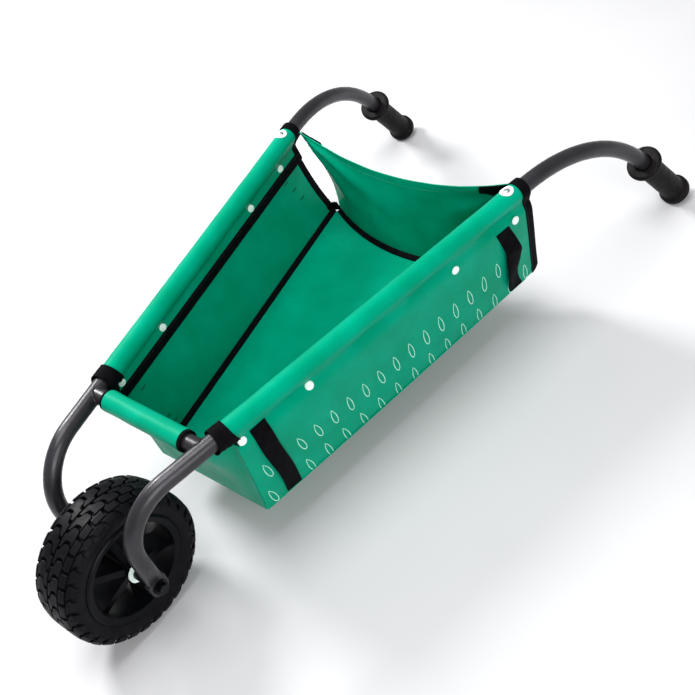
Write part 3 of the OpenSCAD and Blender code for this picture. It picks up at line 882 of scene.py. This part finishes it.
def repeatTree():
    # Sets copies of one small shape at marked places, each turned to its place, then made into plain mesh
    tree = bpy.data.node_groups.new("repeatOnPlaces", "GeometryNodeTree")
    face = tree.interface
    face.new_socket("Geometry", in_out="INPUT", socket_type="NodeSocketGeometry")
    inputs = {"Shape": "Object", "Finish": "Material", "Size Spread": "Float", "Turn Spread": "Float",
        "Seed": "Int"}
    for label, kind in inputs.items():
        face.new_socket(label, in_out="INPUT", socket_type="NodeSocket" + kind)
    face.new_socket("Geometry", in_out="OUTPUT", socket_type="NodeSocketGeometry")
    out = addNode(tree, "NodeGroupInput").outputs
    outAxis, runAxis = (addNode(tree, "GeometryNodeInputNamedAttribute", {"Name": attribute},
        data_type="FLOAT_VECTOR").outputs["Attribute"] for attribute in ("outAxis", "runAxis"))
    facing = addNode(tree, "FunctionNodeAxesToRotation", {"Primary Axis": outAxis, "Secondary Axis": runAxis},
        primary_axis="Z", secondary_axis="X")
    lowTurn = addNode(tree, "ShaderNodeMath", {0: out["Turn Spread"], 1: -1.0}, operation="MULTIPLY")
    turn = addNode(tree, "FunctionNodeRandomValue", {
        "Min": lowTurn.outputs[0], "Max": out["Turn Spread"], "Seed": out["Seed"]}, data_type="FLOAT")
    spin = addNode(tree, "FunctionNodeAxisAngleToRotation", {
        "Axis": (0, 0, 1), "Angle": turn.outputs["Value"]})
    whole = addNode(tree, "FunctionNodeRotateRotation", {
        "Rotation": facing.outputs["Rotation"], "Rotate By": spin.outputs["Rotation"]},
        rotation_space="LOCAL")
    smallest = addNode(tree, "ShaderNodeMath", {0: 1.0, 1: out["Size Spread"]}, operation="SUBTRACT")
    size = addNode(tree, "FunctionNodeRandomValue", {
        "Min": smallest.outputs[0], "Max": 1.0, "Seed": out["Seed"]}, data_type="FLOAT")
    shape = addNode(tree, "GeometryNodeObjectInfo", {"Object": out["Shape"]})
    points = addNode(tree, "GeometryNodeMeshToPoints", {"Mesh": out["Geometry"]})
    copies = addNode(tree, "GeometryNodeInstanceOnPoints", {
        "Points": points.outputs["Points"], "Instance": shape.outputs["Geometry"],
        "Rotation": whole.outputs["Rotation"], "Scale": size.outputs["Value"]})
    real = addNode(tree, "GeometryNodeRealizeInstances", {"Geometry": copies.outputs["Instances"]})
    finished = addNode(tree, "GeometryNodeSetMaterial", {
        "Geometry": real.outputs["Geometry"], "Material": out["Finish"]})
    addNode(tree, "NodeGroupOutput", {"Geometry": finished.outputs["Geometry"]})
    return tree


repeatOnPlaces = repeatTree()


def repeatPiece(name, shape, places, material, body="frame", sizeSpread=0.0, turnSpread=0.0, seed=1,
        sharp=40):
    # places are (point, out of the surface, along the surface)
    data = bpy.data.meshes.new(name)
    data.from_pydata([tuple(p[0]) for p in places], [], [])
    for attribute, index in (("outAxis", 1), ("runAxis", 2)):
        layer = data.attributes.new(attribute, "FLOAT_VECTOR", "POINT")
        for i, place in enumerate(places):
            layer.data[i].vector = place[index]
    obj = bpy.data.objects.new(name, data)
    scene.collection.objects.link(obj)
    nodes = obj.modifiers.new("repeat", "NODES")
    nodes.node_group = repeatOnPlaces
    values = {"Shape": shape, "Finish": material, "Size Spread": sizeSpread, "Turn Spread": turnSpread,
        "Seed": seed}
    for item in repeatOnPlaces.interface.items_tree:
        if item.name in values and item.in_out == "INPUT":
            nodes[item.identifier] = values[item.name]
    finishMesh(obj, material, sharp)
    for layer in ("outAxis", "runAxis"):
        if layer in obj.data.attributes:
            obj.data.attributes.remove(obj.data.attributes[layer])
    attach(obj, body)
    return obj


def placesAlong(frames, pitch, across, lift):
    # Places every pitch along frames, at a distance across them and lifted off them
    places = []
    left = pitch/2
    for (p, a, n), (q, a2, n2) in zip(frames, frames[1:]):
        length = (q - p).length
        while left < length:
            t = left/length
            side, normal = a.lerp(a2, t).normalized(), n.lerp(n2, t).normalized()
            places.append((p.lerp(q, t) + side*across + normal*lift, normal, (q - p).normalized()))
            left += pitch
        left -= length
    return places


origin = Vector((0, 0, 0))
stitchProfile = inMm((0, -1.15), (0.24, -0.9), (0.3, 0), (0.24, 0.9), (0, 1.15))
stitch = lathePiece("stitchShape", stitchProfile, origin, (1, 0, 0), blackThread, 6, closed=False)
snapProfile = inMm((0, -0.6), (4.2, -0.6), (4.9, -0.2), (5.0, 0.5), (4.5, 1.15), (3.4, 1.6), (2.6, 1.5),
    (1.6, 1.75), (0, 1.85))
snap = lathePiece("snapShape", snapProfile, origin, (0, 0, 1), whitePlastic, 28, closed=False)
# Where the outer caps stand: mm behind the crossbar and above the rail's axis
snapPlaces = dict(
    right=((36, -18), (124, -19), (330, -26), (423, -26)),
    left=((37, -26), (121, -26), (326, -26), (403, -26)),
)
stitching = dict(pitch=3.2*mm, spread=dict(sizeSpread=0.12, turnSpread=0.08))


def snapCaps():
    for name, side in sides.items():
        places = []
        for u, z in snapPlaces[name]:
            for pointAt, height in ((outerPoint, z*mm), (flapPoint, tub["flapMeetZ"])):
                p, upward, normal = pointAt(side, u*mm, height, 0.5*mm)
                places.append((p, normal, upward))
        obj = repeatPiece(f"snapCaps_{name}", snap, places, whitePlastic, turnSpread=3.1, seed=4)
        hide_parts(*[f"snap_{i}_{name}" for i in (1, 2, 3, 4)])


def seamFrames(pointAt, side, endGap, z):  # a seam at one height along a side
    frames = []
    for i in range(61):
        u = mix(tub["frontU"] + 3*mm, railLen - endGap, i/60)
        frames.append(pointAt(side, u, z))
    return frames


def stitchRows():
    pitch, spread = stitching["pitch"], stitching["spread"]
    for name, side in sides.items():
        places = placesAlong(flapRuns[name], pitch, 9.6*mm, 1.45*mm)
        places += placesAlong(rearRuns[name], pitch, 8.2*mm, 1.6*mm)
        obj = repeatPiece(f"tapeStitches_{name}", stitch, places, blackThread, **spread)
        places = placesAlong(seamFrames(outerPoint, side, 6*mm, bottomZ + 4.5*mm), pitch, 0, 0.15*mm)
        crease = seamFrames(flapPoint, side, 3*mm, tub["flapMeetZ"] - 0.5*mm)
        places += placesAlong(crease, pitch, 0, 0.15*mm)
        obj = repeatPiece(f"clothStitches_{name}", stitch, places, greenThread, seed=2, **spread)
    rearHem = []
    for i in range(61):
        a = mix(0.74, -0.98, i/60)
        p = rearFace(a, 0.085)
        rearHem.append((p, rearFace(a, 0.0) - p, Vector((0, -1, 0.1)).normalized()))
    places = placesAlong(rearHem, pitch, 0, 0.1*mm)
    obj = repeatPiece("rearHemStitches", stitch, places, greenThread, seed=3, **spread)


# Where the loops are sewn through the side, in mm like the snaps
tackPlaces = ((52, -58), (56, -112), (60, -124), (396, -50), (404, -66), (410, -84))


def barTacks():
    # Short dense stitching seen inside, where the tool loops are sewn through the side
    for name, side in sides.items():
        places = []
        for u, z in tackPlaces:
            for k in range(10):
                p, upward, normal = outerPoint(side, (u + k)*mm, z*mm)
                p = p - normal*(tub["cloth"] + 0.25*mm)
                places.append((p, -normal, upward))
        obj = repeatPiece(f"barTacks_{name}", stitch, places, blackThread, sizeSpread=0.2, turnSpread=0.3,
            seed=6)


leaf = dict(halfLength=13.5*mm, halfWidth=3.4*mm, line=0.75*mm, count=16)
# Each row's first and last place and height, and how far its middle dips, in mm like the snaps
leafRows = ((45.5, 391, -81, 9), (39.5, 436, -124, 7))


def leafShape():
    # A pointed oval outline, 27 mm long and 7 mm wide, as a thin printed line
    outer, inner = [], []
    count = 40
    for i in range(count):
        angle = 2*math.pi*i/count
        long = math.cos(angle)
        wide = math.sin(angle)*(1 - 0.38*max(long, 0)**2)*(1 - 0.15*long)
        taper = 1 - 0.35*ease(long)
        for ring, cut in ((outer, 0.0), (inner, leaf["line"])):
            length = leaf["halfLength"] - cut*(2.1 - 0.6*taper)
            ring.append(Vector((length*long, (leaf["halfWidth"] - cut)*wide, 0)))
    points = []
    for ring, z in ((outer, -0.1*mm), (outer, 0.18*mm), (inner, 0.18*mm), (inner, -0.1*mm)):
        points += [p + Vector((0, 0, z)) for p in ring]
    obj = meshPiece("leafShape", points, ringFaces(4, count))
    faceOutward(obj)
    return finishMesh(obj, ink, 30)


def leafPrint():
    shape = leafShape()
    for name, side in sides.items():
        places = []
        for startU, endU, height, dip in leafRows:
            for i in range(leaf["count"]):
                t = i/(leaf["count"] - 1)
                z = (height - dip*math.sin(math.pi*t))*mm
                p, upward, normal = outerPoint(side, mix(startU, endU, t)*mm, z, 0.12*mm)
                forward = -backAlong(side)
                lean = math.radians(mix(11, 6, t))
                places.append((p, normal, upward*math.cos(lean) + forward*math.sin(lean)))
        obj = repeatPiece(f"leafPrint_{name}", shape, places, ink, turnSpread=0.05, seed=9, sharp=30)
        cutter = bmesh.new()
        cutter.from_mesh(obj.data)
        whole = cutter.verts[:] + cutter.edges[:] + cutter.faces[:]
        # The lower row is cut off by the side's bottom edge
        cut = bmesh.ops.bisect_plane(cutter, geom=whole, plane_co=(0, 0, floorZ - 2.0*mm),
            plane_no=(0, 0, -1), clear_outer=True)
        rim = [e for e in cut["geom_cut"] if isinstance(e, bmesh.types.BMEdge)]
        bmesh.ops.edgeloop_fill(cutter, edges=[e for e in rim if e.is_boundary])
        cutter.to_mesh(obj.data)
        cutter.free()
    bpy.data.objects.remove(shape)


def eyelet(name, side):
    # A moulded ring round the button's hole, bent over the tube
    def at(a, b):
        around, turn = 2*math.pi*a, 2*math.pi*b
        out = buttonR + 2.4*mm + 1.9*mm*math.cos(turn)
        lift = 0.5*mm + 0.95*mm*math.sin(turn)
        u = buttonU + out*math.cos(around)*1.05
        angle = math.pi/2 - out*math.sin(around)/sleeveR
        radius = sleeveR + lift
        return onRail(side, u, radius*math.cos(angle), radius*math.sin(angle))

    obj = sheetPiece(f"eyelet_{name}", at, (48, 14), 0, whitePlastic, flip=side > 0)
    faceOutward(obj, 0.01*mm)
    declare(obj, "white_plastic", f"grommet_{name}")


snapCaps()
stitchRows()
barTacks()
leafPrint()
for name, side in sides.items():
    eyelet(name, side)
bpy.data.objects.remove(stitch)
bpy.data.objects.remove(snap)
print("snaps, stitches and prints done")


tread = dict(
    pitches=30,
    groove=3.6*mm,
    chamfer=0.45*mm,
    step=4.6*mm,          # how far the blocks' edges step to and fro
    stepWidth=11*mm,
    crown=((0, 85), (16, 84.8), (25, 83), (29, 79.6), (30.6, 75)),  # (across, radius) in mm
    # Each block is (from, to) across the tread in mm and its place round it in pitches
    blocks=((-30.6, -23.0, 0.0), (-21.6, -4.0, 0.0), (-2.2, 12.5, 0.5), (14.0, 22.2, 0.5), (23.6, 30.6, 0.5)),
)


def treadR(x):  # the tread's outer radius across its width
    x = abs(x)
    crown = tread["crown"]
    for (x0, r0), (x1, r1) in zip(crown, crown[1:]):
        if x <= x1*mm:
            return mix(r0, r1, (x - x0*mm)/((x1 - x0)*mm))*mm
    return crown[-1][1]*mm


def blockMesh(points, faces, xs, low, high, floorR):
    # One tread block between two lines low(x) and high(x) along the circumference, with chamfered edges
    chamfer = tread["chamfer"]
    start = len(points)
    for level in range(3):
        for i, x in enumerate(xs):
            for k in range(4):
                s = mix(low(x), high(x), k/3)
                r = floorR(x) if level == 0 else treadR(x) - (chamfer if level == 1 else 0)
                if level == 2:
                    s += (chamfer if k == 0 else -chamfer if k == 3 else 0)
                    x2 = x + (chamfer if i == 0 else -chamfer if i == len(xs) - 1 else 0)
                else:
                    x2 = x
                points.append(axle + Vector((x2, r*math.sin(s/wheelR), r*math.cos(s/wheelR))))
    n = len(xs)

    def quad(*corners):  # corners are (level, across, along)
        faces.append([start + level*n*4 + i*4 + k for level, i, k in corners])

    for i in range(n - 1):
        for k in range(3):
            quad((2, i, k), (2, i, k + 1), (2, i + 1, k + 1), (2, i + 1, k))
            quad((0, i, k), (0, i + 1, k), (0, i + 1, k + 1), (0, i, k + 1))
        for level in (0, 1):
            above = level + 1
            quad((level, i, 0), (above, i, 0), (above, i + 1, 0), (level, i + 1, 0))
            quad((level, i, 3), (level, i + 1, 3), (above, i + 1, 3), (above, i, 3))
    for k in range(3):
        for level in (0, 1):
            above = level + 1
            quad((level, 0, k), (level, 0, k + 1), (above, 0, k + 1), (above, 0, k))
            quad((level, n - 1, k), (above, n - 1, k), (above, n - 1, k + 1), (level, n - 1, k + 1))


def tyre():
    # The carcass, and on it the tread's blocks, one pitch of them repeated round the wheel
    pitches = tread["pitches"]
    pitch = 2*math.pi*wheelR/pitches
    carcass = rounded(inMm((56, -23), (62, -28.5), (72, -30.6), (76, -28.4), (79, -24.5), (80.6, -16),
        (80.6, 16), (79, 24.5), (76, 28.4), (72, 30.6), (62, 28.5), (56, 23)), 3*mm, 3)
    body = lathePiece("tyreCarcass", carcass, axle, (1, 0, 0), tyreRubber, 128)
    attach(body, "wheel")
    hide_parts("tyre")

    def zigzag(x):  # the line that the blocks' edges follow across the tread, stepping to and fro
        return tread["step"]*math.tanh(2.6*math.sin(math.pi*(x - 2*mm)/tread["stepWidth"]))

    def floorR(x):
        return treadR(x) - mix(4.6*mm, 2.6*mm, ease(abs(x)/(28*mm)))

    points, faces = [], []
    for x0, x1, shift in tread["blocks"]:
        count = 15 if x1 - x0 > 10 else 9
        xs = [mix(x0, x1, i/(count - 1))*mm for i in range(count)]
        half = (pitch - tread["groove"])/2

        def low(x):
            hook = 1.6*mm*ease((abs(x) - 26*mm)/(4*mm))
            return shift*pitch + zigzag(x) - half + hook

        def high(x):
            hook = 2.2*mm*ease((abs(x) - 26*mm)/(4*mm))
            return shift*pitch + zigzag(x) + half - hook

        blockMesh(points, faces, xs, low, high, floorR)
    shape = meshPiece("treadShape", [p - axle for p in points], faces)
    faceOutward(shape)
    finishMesh(shape, tyreRubber, 30)
    places = []
    for i in range(pitches):
        turn = 2*math.pi*i/pitches
        places.append((axle, Vector((0, math.sin(turn), math.cos(turn))), Vector((1, 0, 0))))
    blocks = repeatPiece("treadBlocks", shape, places, tyreRubber, body="wheel", sharp=25)
    bpy.data.objects.remove(shape)


grip = dict(
    bend=57,              # degrees down from the rail
    startU=636.31*mm,     # where the handle's bend ends, in the rail's frame
    startZ=-97.9*mm,
    profile=inMm((10.2, 3.04), (19.5, 3.04), (22, 5), (21.6, 9.6), (17, 11.5), (15.4, 13.5), (15, 18),
        (15, 88), (15.8, 92.5), (19, 94.4), (19, 102.2), (16.5, 103.54), (0, 103.54), (0, 98), (9.9, 98),
        (9.9, 40)),
)


def gripMoulding(name, side):
    # A soft grip: a thick rounded guard, a plain barrel and a wide rounded end
    bend = math.radians(grip["bend"])
    start = onRail(side, grip["startU"], 0, grip["startZ"])
    axis = Vector((side*along.x*math.cos(bend), along.y*math.cos(bend), -math.sin(bend)))
    profile = rounded(grip["profile"], 2.2*mm, 4)
    obj = lathePiece(f"gripMoulding_{name}", profile, start, axis, gripRubber, 72, 30)
    declare(obj, "grip_rubber", f"grip_{name}")


def weldBead(name, side):
    # A small bead where the crossbar meets a rail
    barR = barSleeveR - 1.75*mm
    frames = []
    count = 72
    for i in range(count):
        angle = 2*math.pi*i/count
        y, z = barR*math.cos(angle), barR*math.sin(angle)
        gap = math.sqrt(max(tubeR**2 - z*z, 0))
        x = railX - gap/along.y + y*along.x/along.y
        p = Vector((side*x, barY + y, railZ + z))
        radial = Vector((0, math.cos(angle), math.sin(angle)))
        frames.append((p, Vector((-side, 0, 0)), radial))
    eighths = [2*math.pi*k/8 for k in range(8)]
    outline = [(1.6*mm*math.cos(turn), 1.6*mm*math.sin(turn)) for turn in eighths]
    obj = sweepPiece(f"weldBead_{name}", frames, outline, paint, closed=True)
    declare(obj, "tube_paint")


tyre()
for name, side in sides.items():
    gripMoulding(name, side)
    weldBead(name, side)
print("wheel and grips done")


finishes = (
    (paint, ("rail_right", "rail_left", "crossbar", "handle_right", "handle_left")),
    (zinc, ("button_right", "button_left")),
    (blackSteel, ("axle_bolt", "axle_nut", "washer_right", "washer_left", "spacer_right", "spacer_left")),
    (rimPlastic, ("rim",)),
    (whitePlastic, ("bushing_right", "bushing_left")),
)
for material, nodes in finishes:
    for node in nodes:
        obj = bpy.data.objects[node]
        obj.data.materials.clear()
        obj.data.materials.append(material)
print("tubes and fittings done")


middle = Vector((0, 0, 0.1))  # what the lights point at
lights = dict(                # place, size and power
    leftLight=((-1.5, 0.0, 1.5), 0.6, 44),
    cameraLight=((1.9, -0.9, 1.3), 1.6, 32),
    topLight=((0.0, -0.1, 2.6), 1.6, 46),
)
shot = dict(lens=54.87, shift=(0.0095, -0.0146), place=(0.748055, -0.533758, 0.928677),
    angles=(53.91, 43.39, -21.98))  # azimuth, elevation and roll in degrees


def studioFloor():
    # Seamless painted floor: pale, matt, with a trace of roller texture
    material, tree, shader = newMaterial("paintedStudioFloor", {"Roughness": 0.85, "Specular IOR Level": 0.2})
    mottle(tree, shader, "Base Color", ("#c6c6c8", "#cbcbcd"), objectPlace(tree), 400*mm)
    bpy.ops.mesh.primitive_plane_add(size=8)
    obj = bpy.context.object
    obj.name = "studioFloor"
    obj.data.materials.append(material)


def areaLight(name, place, size, power):
    data = bpy.data.lights.new(name, "AREA")
    data.shape = "DISK"
    data.size = size
    data.energy = power
    obj = bpy.data.objects.new(name, data)
    scene.collection.objects.link(obj)
    obj.location = place
    obj.rotation_euler = (Vector(place) - middle).to_track_quat("Z", "Y").to_euler()


def camera():
    data = bpy.data.cameras.new("camera")
    data.lens = shot["lens"]
    data.sensor_width = 36
    data.shift_x, data.shift_y = shot["shift"]
    data.clip_start = 0.05
    obj = bpy.data.objects.new("camera", data)
    scene.collection.objects.link(obj)
    azimuth, elevation, roll = map(math.radians, shot["angles"])
    right = Vector((math.cos(azimuth), math.sin(azimuth), 0))
    back = Vector((math.sin(azimuth)*math.cos(elevation), -math.cos(azimuth)*math.cos(elevation),
        math.sin(elevation)))
    up = back.cross(right)
    rolledRight = right*math.cos(roll) + up*math.sin(roll)
    rolledUp = up*math.cos(roll) - right*math.sin(roll)
    turn = Matrix((rolledRight, rolledUp, back)).transposed()
    obj.matrix_world = Matrix.Translation(shot["place"]) @ turn.to_4x4()
    scene.camera = obj


def studio():
    studioFloor()
    camera()
    world = bpy.data.worlds.new("studioWorld")
    world.use_nodes = True
    background = world.node_tree.nodes["Background"].inputs
    background["Color"].default_value = (1, 1, 1, 1)
    background["Strength"].default_value = 0.42
    scene.world = world
    scene.view_settings.view_transform = "Standard"
    for name, settings in lights.items():
        areaLight(name, *settings)


studio()

print("scene done")
